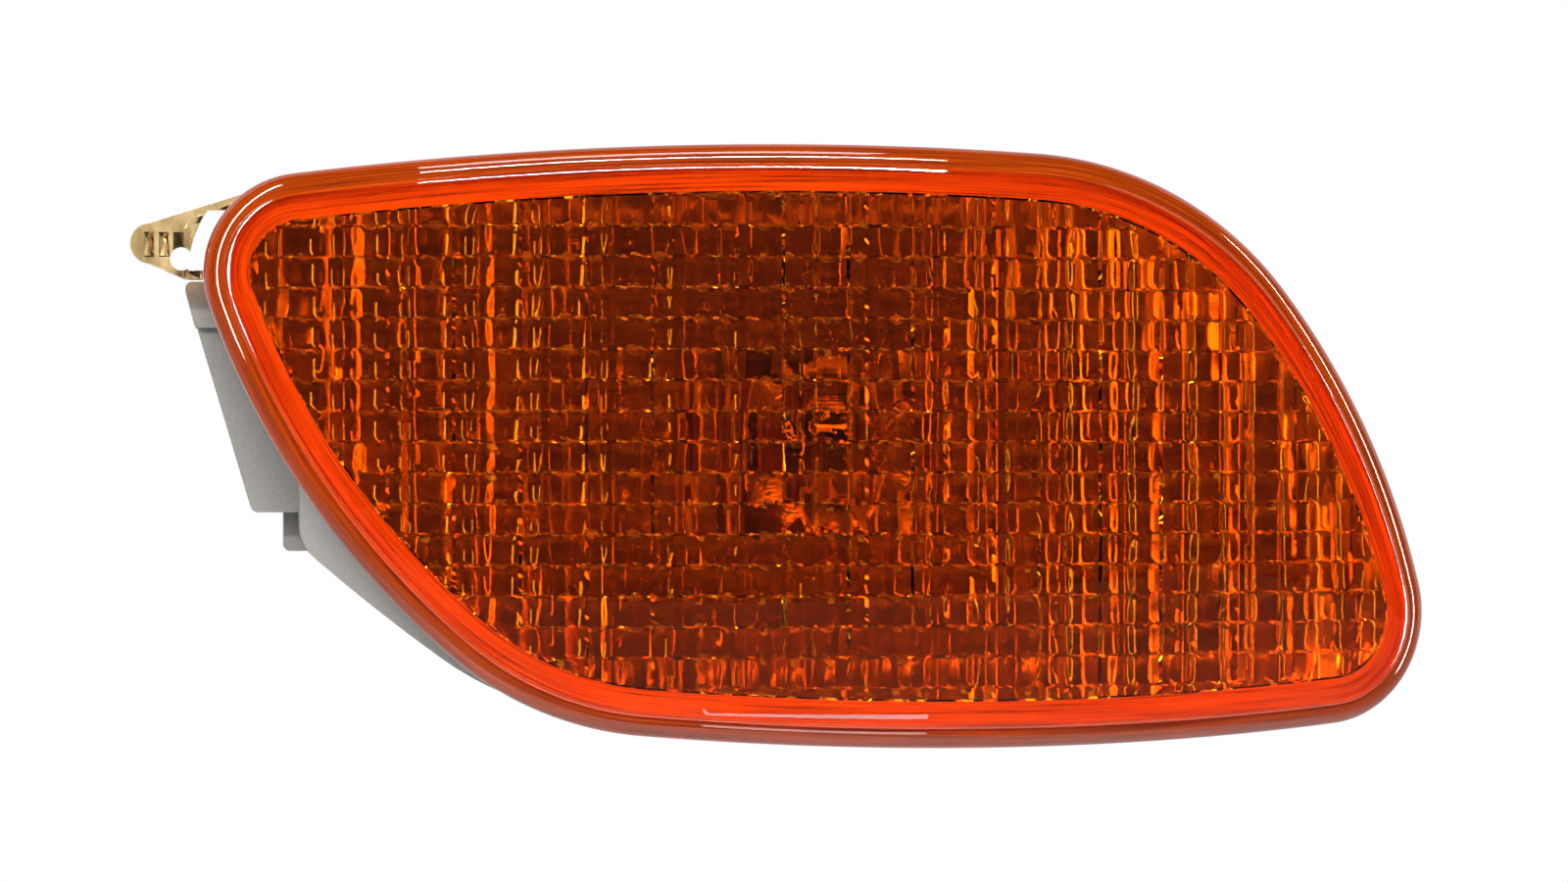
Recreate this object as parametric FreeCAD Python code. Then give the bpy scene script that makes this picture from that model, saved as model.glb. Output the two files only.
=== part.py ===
import FreeCAD, Part
import math
import os

Vector = FreeCAD.Vector

# Lens outline seen from the front: its sharp corners, measured from the bulb axis, before rounding
outline_left = 95.5
outline_right = 95.0
top_right_setback = 45.4
bottom_left_setback = 52.9
top_left_rise = 37.6
top_right_rise = 41.5
bottom_right_drop = 39.7
bottom_left_drop = 40.5

# How far each side bows outwards, and the round at each corner
top_bow = 4.0
right_bow = 9.4
bottom_bow = 3.8
left_bow = 9.5
top_left_round = 14.5
top_right_round = 54.0
bottom_right_round = 16.5
bottom_left_round = 47.5

# Lens dome, rim and skirt
dome_radius = 230.0
dome_crest_x = -7.5
crown_radius = 700.0
rim_width = 2.9
rim_step = 1.0
rim_round = 2.2
crest_round = 0.6
lens_wall = 3.0
rim_depth = 5.5
skirt_inset = 1.2
skirt_wall = 2.0
skirt_depth = 9.0

# Prism grid on the inside of the window
window_inset = 6.9
prism_height = 1.0
row_pitch = 4.45
row_datum = 0.7
row_groove_width = 1.3
column_pitch = 9.4
column_datum = -4.9
column_groove_width = 2.3
column_groove_floor = 1.3
groove_depth = 0.7

# Reflector
flange_gap = 0.5
flange_thickness = 1.5
cup_wall = 1.8
trough_radius = 300.0
trough_back = 50.0
flute_pitch = 7.3
flute_depth = 0.8
bulb_hole_radius = 14.0

# Fits between pieces
fit_gap = 0.15
slide_gap = 0.4
strip_gap = 0.1
weld_overlap = 0.3

# Housing channel that holds the lens skirt
lip_inset = 0.1
seal_thickness = 1.5
seal_side_gap = 0.3
channel_wall = 1.6
channel_base = 2.4

# Housing body
body_inset = 2.8
body_wall = 1.9
shoulder_back = 50.0
body_back = 60.0
pouch_left = 80.0
pouch_knee_drop = 16.0
pouch_low_left = 47.4
pouch_low_drop = 40.9
pouch_knee_round = 9.0
pouch_side_bow = 0.5
pouch_slope_bow = 0.8
back_wall = 2.5
back_round = 6.0

# Bulb port in the back of the housing
port_radius = 16.0
collar_wall = 3.5
collar_length = 5.0
lug_count = 3
lug_width = 7.0
lug_reach = 2.2
lug_thickness = 1.6
lug_turn = 45.0

# Ribs, locating peg and vent spigot on the back of the housing
rib_height = 4.0
rib_wall = 1.6
rib_margin = 12.0
peg_x = 68.0
peg_z = -6.0
peg_radius = 3.0
peg_length = 10.0
peg_chamfer = 0.8
vent_x = -42.0
vent_z = 20.0
vent_radius = 4.0
vent_bore = 2.0
vent_length = 7.0

# Wedge bracket at the left, with its step, lug and screw hole
bracket_top = 24.4
bracket_step = 18.6
bracket_bottom = -9.8
bracket_top_reach = 2.4
bracket_step_reach = 2.6
bracket_bottom_reach = 9.4
bracket_root = 9.0
bracket_front = 33.0
bracket_depth = 15.0
bracket_round = 1.0
step_proud = 1.6
lug_drop = 5.9
lug_left_reach = 4.7
lug_round = 0.9
lug_depth = 8.0
screw_hole_radius = 1.75
screw_hole_length = 11.0
screw_hole_reach = 3.9
screw_hole_rise = 4.6

# Clear locating ear
ear_front = 22.5
ear_depth = 6.5
ear_reach = 8.5
ear_nose_z = 29.7
ear_top = 35.8
ear_top_rise = 2.0
ear_nose_half = 2.9
ear_nose_back = 2.7
ear_slot_width = 2.2
ear_slot_end_offset = 1.7
ear_slot_arm = 1.2
ear_slot_end_radius = 1.7
ear_pocket_count = 3
ear_pocket_width = 1.4
ear_pocket_height = 3.4
ear_pocket_pitch = 2.1
ear_pocket_depth = 4.6
ear_pocket_offset = 2.0

# Bulb
globe_radius = 12.5
glass_wall = 0.8
neck_radius = 6.95
bulb_length = 52.5
neck_shoulder = 30.0
cap_radius = 7.5
cap_wall = 0.4
cap_length = 15.0
neck_in_cap = 5.0
pin_radius = 0.95
pin_hole_gap = 0.05
pin_reach = 1.1
pin_from_contact = 8.5
insulator_rise = 2.3
insulator_seat = 1.0
insulator_top_radius = 3.2
contact_radius = 2.0
contact_rise = 0.8
stem_radius = 2.6
stem_flare_radius = 5.6
stem_flare_length = 2.0
stem_length = 14.0
lead_radius = 0.35
lead_spread = 3.5
filament_radius = 0.5
filament_overhang = 0.6

# Bulb holder
gasket_thickness = 2.0
gasket_width = 4.0
flange_radius = 21.0
flange_plate = 3.0
plug_length = 11.5
sleeve_radius = 10.2
sleeve_length = 8.0
cap_gap = 0.2
cap_proud = 2.0
holder_floor = 5.0
pin_slot_width = 2.4

# Contact strips and connector socket
blade_thickness = 0.8
blade_width = 2.8
blade_length = 10.0
leaf_width = 5.0
leaf_gap = 0.15
earth_strip_start = 6.0
socket_wall = 1.8
socket_length = 14.0
socket_half_height = 6.0
socket_margin = 4.6

# Breather cap
breather_wall = 1.8
breather_end = 2.0
breather_gap = 0.15

# Lengths worked out from the sizes above
reach = outline_left + outline_right
channel_floor = skirt_depth + 2 * fit_gap + seal_thickness
channel_back = channel_floor + channel_base
skirt_inner = skirt_inset + skirt_wall
channel_inner = skirt_inner + fit_gap + channel_wall
lip_front = rim_depth + fit_gap
flange_front = lens_wall + prism_height + flange_gap
flange_rear = flange_front + flange_thickness
collar_end = body_back + collar_length
holder_front = collar_end + gasket_thickness
holder_back = holder_front + flange_plate
plug_front = holder_front - plug_length
sleeve_front = plug_front - sleeve_length
cap_front = sleeve_front - cap_proud
cap_back = cap_front + cap_length
contact_end = cap_back + insulator_rise + contact_rise
bore_floor = holder_back - holder_floor
globe_tip = contact_end - bulb_length
globe_centre = globe_tip + globe_radius
pin_plane = contact_end - pin_from_contact

CORNERS = [
    (-outline_left, top_left_rise),
    (outline_right - top_right_setback, top_right_rise),
    (outline_right, -bottom_right_drop),
    (bottom_left_setback - outline_left, -bottom_left_drop),
]
LENS_EDGE = {
    "corners": CORNERS,
    "bows": [top_bow, right_bow, bottom_bow, left_bow],
    "rounds": [top_left_round, top_right_round, bottom_right_round, bottom_left_round],
}


def side_circle(start, end, bow):
    """Centre and radius of one bowed side of an outline that runs clockwise."""
    along_x = end[0] - start[0]
    along_z = end[1] - start[1]
    chord = math.hypot(along_x, along_z)
    radius = (chord * chord / 4 + bow * bow) / (2 * bow)
    depth = radius - bow
    centre_x = (start[0] + end[0]) / 2 + depth * along_z / chord
    centre_z = (start[1] + end[1]) / 2 - depth * along_x / chord
    return Vector(centre_x, 0, centre_z), radius


def pouch_edge():
    """Edge of the deep part of the housing: the lens edge, cut short at the left."""
    centre, radius = side_circle(CORNERS[0], CORNERS[1], top_bow)
    top_left = (-pouch_left, centre.z + math.sqrt(radius ** 2 - (pouch_left + centre.x) ** 2))
    half_chord = math.dist(top_left, CORNERS[1]) / 2
    bow = radius - math.sqrt(radius ** 2 - half_chord ** 2)
    low_left = (-pouch_low_left, -pouch_low_drop)
    knee = (-pouch_left, -pouch_knee_drop)
    return {
        "corners": [top_left, CORNERS[1], CORNERS[2], low_left, knee],
        "bows": [bow, right_bow, bottom_bow, pouch_slope_bow, pouch_side_bow],
        "rounds": LENS_EDGE["rounds"] + [pouch_knee_round],
    }


def corner_centre(before, after, corner_round, sharp):
    """Centre of the arc that touches two sides from inside."""
    first = before[1] - corner_round
    second = after[1] - corner_round
    apart = after[0] - before[0]
    span = apart.Length
    along = (first * first - second * second + span * span) / (2 * span)
    across = math.sqrt(first * first - along * along)
    unit = apart / span
    foot = before[0] + unit * along
    square = Vector(-unit.z, 0, unit.x) * across
    point = Vector(sharp[0], 0, sharp[1])
    return min(foot + square, foot - square, key=lambda centre: (centre - point).Length)


def arc_about(centre, radius, start, end):
    """Short arc about a centre, between two points on it."""
    middle = (start - centre) + (end - centre)
    return Part.Arc(start, centre + middle.normalize() * radius, end).toShape()


def outline(inset, edge=LENS_EDGE):
    """Closed wire parallel to an edge, inset inwards by a distance."""
    corners = edge["corners"]
    rounds = edge["rounds"]
    count = len(corners)
    sides = []
    for index in range(count):
        following = corners[(index + 1) % count]
        sides.append(side_circle(corners[index], following, edge["bows"][index]))
    centres = []
    for index in range(count):
        centres.append(corner_centre(sides[index - 1], sides[index], rounds[index], corners[index]))

    def touch(side, corner):
        away = centres[corner] - sides[side][0]
        return sides[side][0] + away.normalize() * (sides[side][1] - inset)

    edges = []
    for index in range(count):
        following = (index + 1) % count
        corner_start = touch(index - 1, index)
        corner_end = touch(index, index)
        side_end = touch(index, following)
        edges.append(arc_about(centres[index], rounds[index] - inset, corner_start, corner_end))
        edges.append(arc_about(sides[index][0], sides[index][1] - inset, corner_end, side_end))
    return Part.Wire(edges)


def lens_left(height):
    """X of the left side of the lens at a height."""
    centre, radius = side_circle(CORNERS[3], CORNERS[0], left_bow)
    return centre.x - math.sqrt(radius * radius - (height - centre.z) ** 2)


def prism(wire, front, back):
    """Solid of a closed wire carried from one depth to another."""
    face = Part.Face(wire)
    face.translate(Vector(0, front, 0))
    return face.extrude(Vector(0, back - front, 0))


def column(inset):
    """Solid of the lens outline through the whole depth."""
    return prism(outline(inset), -reach, reach)


def ring(outer_inset, inner_inset):
    """Tube between two parallel lens outlines through the whole depth."""
    return column(outer_inset).cut(column(inner_inset))


def drum(drop):
    """Upright cylinder whose face lies a distance behind the crest of the dome."""
    base = Vector(dome_crest_x, dome_radius, -reach)
    return Part.makeCylinder(dome_radius - drop, 2 * reach, base)


def barrel(drop):
    """Crowned body of the dome, its face a distance behind the crest."""
    middle = dome_radius - drop
    ends = middle - crown_radius + math.sqrt(crown_radius ** 2 - reach ** 2)
    low = Vector(0, ends, -reach)
    high = Vector(0, ends, reach)
    bow = Part.Arc(low, Vector(0, middle, 0), high).toShape()
    foot = Vector(0, 0, -reach)
    head = Vector(0, 0, reach)
    rest = [Part.makeLine(high, head), Part.makeLine(head, foot), Part.makeLine(foot, low)]
    profile = Part.Wire([bow] + rest)
    body = Part.Face(profile).revolve(Vector(0, 0, 0), Vector(0, 0, 1), 360)
    body.translate(Vector(dome_crest_x, dome_radius, 0))
    return body


def rounded_front(body, radius):
    """Rounds the edge around the crowned face of a body."""
    crowned = [face for face in body.Faces if isinstance(face.Surface, Part.SurfaceOfRevolution)]
    return body.makeFillet(radius, crowned[0].OuterWire.Edges)


def rounded_back(body, depth, radius):
    """Rounds the edge around the flat back of a body."""
    for face in body.Faces:
        box = face.BoundBox
        if box.YLength < fit_gap and abs(box.YMax - depth) < fit_gap:
            return body.makeFillet(radius, face.OuterWire.Edges)
    return body


def box(low, high):
    """Block between two corners."""
    size = high - low
    return Part.makeBox(size.x, size.y, size.z, low)


def rod(radius, front, back, x=0.0, z=0.0):
    """Round bar along the depth."""
    return Part.makeCylinder(radius, back - front, Vector(x, front, z), Vector(0, 1, 0))


def tube(outer, inner, front, back, x=0.0, z=0.0):
    """Round tube along the depth."""
    return rod(outer, front, back, x, z).cut(rod(inner, front, back, x, z))


def plate(points, corner_round, front, back):
    """Flat plate with straight sides and rounded upright corners, from points in x and z."""
    wire = Part.makePolygon([Vector(x, 0, z) for x, z in points + points[:1]])
    body = prism(wire, front, back)
    upright = [edge for edge in body.Edges if abs(edge.BoundBox.YLength - (back - front)) < fit_gap]
    return body.makeFillet(corner_round, upright)


def grid_lines(pitch, datum, low, high):
    """Places of the grid lines that fall between two limits."""
    first = math.ceil((low - datum) / pitch)
    last = math.floor((high - datum) / pitch)
    return [datum + pitch * index for index in range(first, last + 1)]


def row_groove(height):
    """Level groove of vee section round the inside of the dome."""
    face_radius = dome_radius - lens_wall - prism_height
    open_radius = face_radius - groove_depth
    points = [
        Vector(0, face_radius + groove_depth, height),
        Vector(0, open_radius, height - row_groove_width),
        Vector(0, open_radius, height + row_groove_width),
    ]
    section = Part.Face(Part.makePolygon(points + points[:1]))
    groove = section.revolve(Vector(0, 0, 0), Vector(0, 0, 1), 360)
    groove.translate(Vector(dome_crest_x, dome_radius, 0))
    return groove


def column_groove(place):
    """Upright groove with a flat floor, square to the inside of the dome."""
    face_radius = dome_radius - lens_wall - prism_height
    turn = math.asin((place - dome_crest_x) / face_radius)
    floor_half = column_groove_floor / 2
    slope = (column_groove_width - column_groove_floor) / 2
    points = [
        Vector(-floor_half, -face_radius - groove_depth, -reach),
        Vector(floor_half, -face_radius - groove_depth, -reach),
        Vector(floor_half + 2 * slope, -face_radius + groove_depth, -reach),
        Vector(-floor_half - 2 * slope, -face_radius + groove_depth, -reach),
    ]
    groove = Part.Face(Part.makePolygon(points + points[:1])).extrude(Vector(0, 0, 2 * reach))
    groove.rotate(Vector(0, 0, 0), Vector(0, 0, 1), math.degrees(turn))
    groove.translate(Vector(dome_crest_x, dome_radius, 0))
    return groove


def make_lens():
    """Amber moulding: rounded rim, raised crest, skirt and the prism grid inside."""
    rim = rounded_front(column(0).common(barrel(rim_step)), rim_round)
    crest = rounded_front(column(rim_width).common(barrel(0)), crest_round)
    shell = rim.fuse(crest).cut(drum(rim_depth))
    skirt = column(skirt_inset).common(drum(rim_depth - weld_overlap)).cut(drum(skirt_depth))
    shell = shell.fuse(skirt)
    shell = shell.cut(column(skirt_inner).common(drum(lens_wall)))
    window = column(window_inset)
    pad = window.common(drum(lens_wall - weld_overlap)).cut(drum(lens_wall + prism_height))
    limits = pad.BoundBox
    tools = [row_groove(z) for z in grid_lines(row_pitch, row_datum, limits.ZMin, limits.ZMax)]
    lens = shell.fuse(pad).cut([tool.common(window) for tool in tools])
    tools = [column_groove(x) for x in grid_lines(column_pitch, column_datum, limits.XMin, limits.XMax)]
    return lens.cut([tool.common(window) for tool in tools])


def make_lens_seal():
    """Sealing bead between the lens skirt and the floor of the channel."""
    bead = ring(skirt_inset + seal_side_gap, skirt_inner - seal_side_gap)
    return bead.common(drum(skirt_depth + fit_gap)).cut(drum(channel_floor - fit_gap))


def trough_region(shift):
    """Everything in front of the fluted back of the reflector, moved back by a distance."""
    def depth(x):
        return trough_back + shift - trough_radius + math.sqrt(trough_radius ** 2 - x * x)

    count = math.ceil(reach / flute_pitch / 2) + 1
    edges = []
    for index in range(-count, count):
        left = flute_pitch * index
        right = left + flute_pitch
        middle = (left + right) / 2
        start = Vector(left, depth(left), -reach)
        end = Vector(right, depth(right), -reach)
        valley = Vector(middle, (start.y + end.y) / 2 + flute_depth, -reach)
        edges.append(Part.Arc(start, valley, end).toShape())
    first = edges[0].Vertexes[0].Point
    last = edges[-1].Vertexes[-1].Point
    front_first = Vector(first.x, -reach, -reach)
    front_last = Vector(last.x, -reach, -reach)
    edges.append(Part.makeLine(last, front_last))
    edges.append(Part.makeLine(front_last, front_first))
    edges.append(Part.makeLine(front_first, first))
    return Part.Face(Part.Wire(edges)).extrude(Vector(0, 0, 2 * reach))


def make_reflector():
    """Metallised insert: a flange behind the rim and a cup with upright flutes."""
    cup = column(window_inset - cup_wall).common(trough_region(cup_wall))
    cup = cup.cut(column(window_inset).common(trough_region(0)))
    cup = cup.common(drum(flange_front))
    flange = ring(skirt_inner + slide_gap, window_inset)
    flange = flange.common(drum(flange_front)).cut(drum(flange_rear))
    return cup.fuse(flange).cut(rod(bulb_hole_radius, 0, body_back)).removeSplitter()


def make_bracket():
    """Wedge bracket at the left with the step above it and the lug below it."""
    back = bracket_front + bracket_depth
    top_left = lens_left(bracket_top) - bracket_top_reach
    step_left = lens_left(bracket_step) - bracket_step_reach
    low_left = lens_left(bracket_bottom) - bracket_bottom_reach
    wedge = plate([
        (step_left, bracket_step),
        (low_left, bracket_bottom),
        (lens_left(bracket_bottom) + bracket_root, bracket_bottom),
        (lens_left(bracket_step) + bracket_root, bracket_step),
    ], bracket_round, bracket_front, back)
    step = plate([
        (top_left, bracket_top),
        (step_left, bracket_step - bracket_round),
        (lens_left(bracket_step) + bracket_root, bracket_step - bracket_round),
        (lens_left(bracket_top) + bracket_root, bracket_top),
    ], bracket_round, bracket_front - step_proud, back)
    lug_left = lens_left(bracket_bottom) - lug_left_reach
    lug_bottom = bracket_bottom - lug_drop
    lug = plate([
        (lug_left, bracket_bottom + lug_round),
        (lug_left, lug_bottom),
        (lens_left(lug_bottom) + bracket_root, lug_bottom),
        (lens_left(lug_bottom) + bracket_root, bracket_bottom + lug_round),
    ], lug_round, bracket_front + bracket_depth - lug_depth, back)
    return wedge.fuse([step, lug])


def screw_place():
    """X and z of the screw hole in the back of the bracket."""
    height = bracket_bottom + screw_hole_rise
    return lens_left(height) - screw_hole_reach, height


def port_lugs(radial, front, back, turn, width):
    """Bayonet tabs round the bulb axis, joined to a core of the same depth."""
    tabs = []
    for index in range(lug_count):
        tab = box(Vector(0, front, -width / 2), Vector(radial, back, width / 2))
        tab.rotate(Vector(0, 0, 0), Vector(0, 1, 0), turn + 360 * index / lug_count)
        tabs.append(tab)
    return tabs[0].fuse(tabs[1:])


def make_back_details():
    """Collar, level ribs, peg and vent spigot on the back of the housing."""
    seat = body_back - back_wall
    rib_low = Vector(-outline_left, seat, -rib_wall / 2)
    rib_high = Vector(outline_right, body_back + rib_height, rib_wall / 2)
    limit = prism(outline(body_inset + rib_margin, pouch_edge()), seat, body_back + rib_height)
    level = box(rib_low, rib_high).common(limit)
    upright_low = Vector(-rib_wall / 2, seat, -bottom_left_drop)
    upright_high = Vector(rib_wall / 2, body_back + rib_height, top_right_rise)
    upright = box(upright_low, upright_high).common(limit)
    collar = rod(port_radius + collar_wall, seat, collar_end)
    peg = rod(peg_radius, seat, body_back + peg_length, peg_x, peg_z)
    tip = [edge for edge in peg.Edges if edge.BoundBox.YMin > body_back + peg_length - fit_gap]
    peg = peg.makeChamfer(peg_chamfer, tip)
    vent = rod(vent_radius, seat, body_back + vent_length, vent_x, vent_z)
    return collar.fuse([level, upright, peg, vent])


def hollow_body():
    """Shoulder behind the lens and the deeper pouch behind it, as one hollow shell."""
    outer = []
    inner = []
    for edge, back in ((LENS_EDGE, shoulder_back), (pouch_edge(), body_back)):
        solid = prism(outline(body_inset, edge), 0, back)
        outer.append(rounded_back(solid, back, back_round))
        space = prism(outline(body_inset + body_wall, edge), 0, back - back_wall)
        inner.append(rounded_back(space, back - back_wall, back_round - body_wall))
    body = outer[0].fuse(outer[1]).fuse(make_bracket()).common(drum(channel_floor))
    space = inner[0].fuse(inner[1]).common(drum(channel_back))
    mouth = column(channel_inner).cut(drum(channel_back))
    return body.cut(space).cut(mouth)


def make_housing():
    """Grey moulding: channel for the lens, hollow body, bracket and rear port."""
    frame = ring(lip_inset, channel_inner).common(drum(lip_front)).cut(drum(channel_back))
    frame = frame.cut(column(skirt_inset - fit_gap).cut(drum(channel_floor)))
    inner_wall = ring(skirt_inner + fit_gap, channel_inner)
    inner_wall = inner_wall.common(drum(flange_rear + fit_gap)).cut(drum(channel_back))
    body = hollow_body().fuse([frame, inner_wall, make_back_details()])
    seat = body_back - back_wall
    body = body.cut(rod(port_radius, seat, collar_end))
    notch_reach = port_radius + lug_reach
    notches = port_lugs(notch_reach, seat, collar_end, lug_turn, lug_width + 2 * slide_gap)
    body = body.cut(notches)
    body = body.cut(rod(vent_bore, seat, body_back + vent_length, vent_x, vent_z))
    screw_x, screw_z = screw_place()
    screw_mouth = bracket_front + bracket_depth
    screw_hole = rod(screw_hole_radius, screw_mouth - screw_hole_length, screw_mouth, screw_x, screw_z)
    return body.cut(screw_hole).removeSplitter()


def make_ear():
    """Clear eye at the upper left with a curved slot beside the lamp and pockets behind."""
    back = ear_front + ear_depth
    nose_x = lens_left(ear_nose_z) - ear_reach
    bottom = bracket_top + fit_gap
    root = lens_left(bottom) + bracket_root
    shoulder = Vector(nose_x + ear_nose_back, 0, ear_nose_z + ear_nose_half)
    chin = Vector(nose_x + ear_nose_back, 0, ear_nose_z - ear_nose_half)
    top_root = Vector(root, 0, ear_top + ear_top_rise)
    low_root = Vector(root, 0, bottom)
    foot = Vector(lens_left(bottom) - ear_slot_width, 0, bottom)
    edges = [
        Part.makeLine(top_root, shoulder),
        Part.Arc(shoulder, Vector(nose_x, 0, ear_nose_z), chin).toShape(),
        Part.makeLine(chin, foot),
        Part.makeLine(foot, low_root),
        Part.makeLine(low_root, top_root),
    ]
    ear = prism(Part.Wire(edges), ear_front, back)
    slot = column(-ear_slot_width)
    slot_low = bottom + ear_slot_arm
    slot_high = ear_top - ear_slot_arm
    slot = slot.common(box(Vector(-reach, 0, slot_low), Vector(0, body_back, slot_high)))
    end_z = slot_low + ear_slot_end_radius
    end_x = lens_left(end_z) - ear_slot_end_offset
    ear = ear.cut([slot, rod(ear_slot_end_radius, 0, body_back, end_x, end_z)])
    ear = ear.cut(column(lip_inset - fit_gap))
    for index in range(ear_pocket_count):
        left = nose_x + ear_pocket_offset + ear_pocket_pitch * index
        low = Vector(left, back - ear_pocket_depth, ear_nose_z - ear_pocket_height / 2)
        high = Vector(left + ear_pocket_width, back, ear_nose_z + ear_pocket_height / 2)
        ear = ear.cut(box(low, high))
    return ear


def turned(points):
    """Solid turned about the bulb axis from a profile of radius and depth."""
    corners = [Vector(radius, depth, 0) for radius, depth in points]
    face = Part.Face(Part.makePolygon(corners + corners[:1]))
    return face.revolve(Vector(0, 0, 0), Vector(0, 1, 0), 360)


def globe_body(shrink):
    """Solid of the bulb's glass, made smaller all round by a distance."""
    radius = globe_radius - shrink
    neck = neck_radius - shrink
    globe = Part.makeSphere(radius, Vector(0, globe_centre, 0), Vector(0, 1, 0))
    shoulder_end = globe_tip + neck_shoulder
    slope = shoulder_end - globe_centre
    lean = math.pi / 2 - math.atan2(neck, slope) - math.acos(radius / math.hypot(slope, neck))
    touch_radius = radius * math.cos(lean)
    touch_depth = globe_centre + radius * math.sin(lean)
    cone = turned([(0, touch_depth), (touch_radius, touch_depth), (neck, shoulder_end), (0, shoulder_end)])
    neck_end = cap_front + neck_in_cap
    return globe.fuse([cone, rod(neck, shoulder_end, neck_end)])


def make_bulb():
    """The bulb's pieces by name."""
    glass = globe_body(0).cut(globe_body(glass_wall)).removeSplitter()
    stem_end = cap_front + neck_in_cap - fit_gap
    stem = rod(stem_radius, stem_end - stem_length, stem_end)
    stem = stem.fuse(rod(stem_flare_radius, stem_end - stem_flare_length, stem_end)).removeSplitter()
    lead_tip = globe_centre + filament_radius
    leads = []
    for side in (-1, 1):
        leads.append(rod(lead_radius, lead_tip, stem_end, side * lead_spread, 0))
    stem = stem.cut(leads)
    half = lead_spread + filament_overhang
    start = Vector(-half, globe_centre, 0)
    filament = Part.makeCylinder(filament_radius, 2 * half, start, Vector(1, 0, 0))
    cap = tube(cap_radius, cap_radius - cap_wall, cap_front, cap_back)
    pins = []
    for side in (-1, 1):
        inner = cap_radius - cap_wall
        pins.append(Part.makeCylinder(
            pin_radius, cap_wall + pin_reach, Vector(0, pin_plane, side * inner), Vector(0, 0, side)))
    hole = Part.makeCylinder(
        pin_radius + pin_hole_gap, 2 * cap_radius, Vector(0, pin_plane, -cap_radius), Vector(0, 0, 1))
    cap = cap.cut(hole)
    seat = cap_radius - cap_wall - strip_gap
    rise_end = cap_back + insulator_rise
    insulator = turned([
        (0, cap_back - insulator_seat),
        (seat, cap_back - insulator_seat),
        (seat, cap_back),
        (insulator_top_radius, rise_end),
        (0, rise_end),
    ])
    contact = rod(contact_radius, rise_end, contact_end)
    return {
        "bulb_glass": glass,
        "bulb_stem": stem,
        "filament_leads": Part.makeCompound(leads),
        "filament": filament,
        "bulb_cap": cap,
        "bayonet_pins": Part.makeCompound(pins),
        "cap_insulator": insulator,
        "cap_contact": contact,
    }


def make_strips():
    """Centre strip with its leaf under the bulb, and the earth strip beside the cap."""
    blade_end = holder_back + blade_length
    leaf_front = contact_end + leaf_gap
    half = blade_thickness / 2
    leaf_back = leaf_front + blade_thickness
    leaf = box(Vector(-half, leaf_front, -leaf_width / 2), Vector(half, leaf_back, leaf_width / 2))
    blade = box(Vector(-half, leaf_front, -blade_width / 2), Vector(half, blade_end, blade_width / 2))
    centre = leaf.fuse(blade).removeSplitter()
    inner = cap_radius + strip_gap
    earth = box(
        Vector(inner, sleeve_front + earth_strip_start, -blade_width / 2),
        Vector(inner + blade_thickness, blade_end, blade_width / 2))
    return centre, earth


def strip_slot(strip):
    """Opening that a strip passes through, with a gap all round."""
    limits = strip.BoundBox
    gap = Vector(strip_gap, strip_gap, strip_gap)
    low = Vector(limits.XMin, limits.YMin, limits.ZMin)
    high = Vector(limits.XMax, limits.YMax, limits.ZMax)
    return box(low - gap, high + gap)


def make_holder(strips):
    """Twist-lock holder: sleeve for the cap, plug with tabs, flange and connector socket."""
    plug = rod(port_radius - slide_gap, plug_front, holder_front)
    tab_back = body_back - back_wall - fit_gap
    tabs = port_lugs(port_radius + lug_reach - slide_gap, tab_back - lug_thickness, tab_back, 0, lug_width)
    sleeve = rod(sleeve_radius, sleeve_front, plug_front)
    flange = rod(flange_radius, holder_front, holder_back)
    bounds = strips[0].BoundBox.united(strips[1].BoundBox)
    inner_low = Vector(bounds.XMin - socket_margin, holder_back, socket_wall - socket_half_height)
    socket_end = holder_back + socket_length
    inner_high = Vector(bounds.XMax + socket_margin, socket_end, socket_half_height - socket_wall)
    wall = Vector(socket_wall, 0, socket_wall)
    socket = box(inner_low - wall, inner_high + wall)
    upright = [edge for edge in socket.Edges if edge.BoundBox.YLength > socket_length - fit_gap]
    socket = socket.makeFillet(socket_wall, upright).cut(box(inner_low, inner_high))
    body = plug.fuse([tabs, sleeve, flange, socket])
    body = body.cut(rod(cap_radius + cap_gap, sleeve_front, bore_floor))
    slot_reach = cap_radius + pin_reach + cap_gap
    slot_half = pin_slot_width / 2
    body = body.cut(box(
        Vector(-slot_half, sleeve_front, -slot_reach),
        Vector(slot_half, pin_plane + slot_half, slot_reach)))
    return body.cut([strip_slot(strip) for strip in strips]).removeSplitter()


def make_breather_cap():
    """Rubber cap over the vent spigot, open at its foot by a side notch."""
    inner = vent_radius + breather_gap
    end = body_back + vent_length
    cap = rod(inner + breather_wall, body_back, end + breather_end, vent_x, vent_z)
    top = [edge for edge in cap.Edges if edge.BoundBox.YMin > end]
    cap = cap.makeFillet(breather_wall / 2, top)
    cap = cap.cut(rod(inner, body_back, end, vent_x, vent_z))
    notch_low = Vector(vent_x - breather_wall, body_back, vent_z - inner - 2 * breather_wall)
    notch_high = Vector(vent_x + breather_wall, body_back + breather_end, vent_z)
    return cap.cut(box(notch_low, notch_high))


def make_pieces():
    """Every piece of the lamp by name, placed about the bulb axis."""
    strips = make_strips()
    pieces = {
        "lens": make_lens(),
        "lens_seal": make_lens_seal(),
        "reflector": make_reflector(),
        "housing": make_housing(),
        "locating_ear": make_ear(),
        "holder_body": make_holder(strips),
        "holder_gasket": tube(port_radius + gasket_width, port_radius, collar_end, holder_front),
        "centre_contact": strips[0],
        "earth_contact": strips[1],
        "breather_cap": make_breather_cap(),
    }
    pieces.update(make_bulb())
    return pieces


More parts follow.
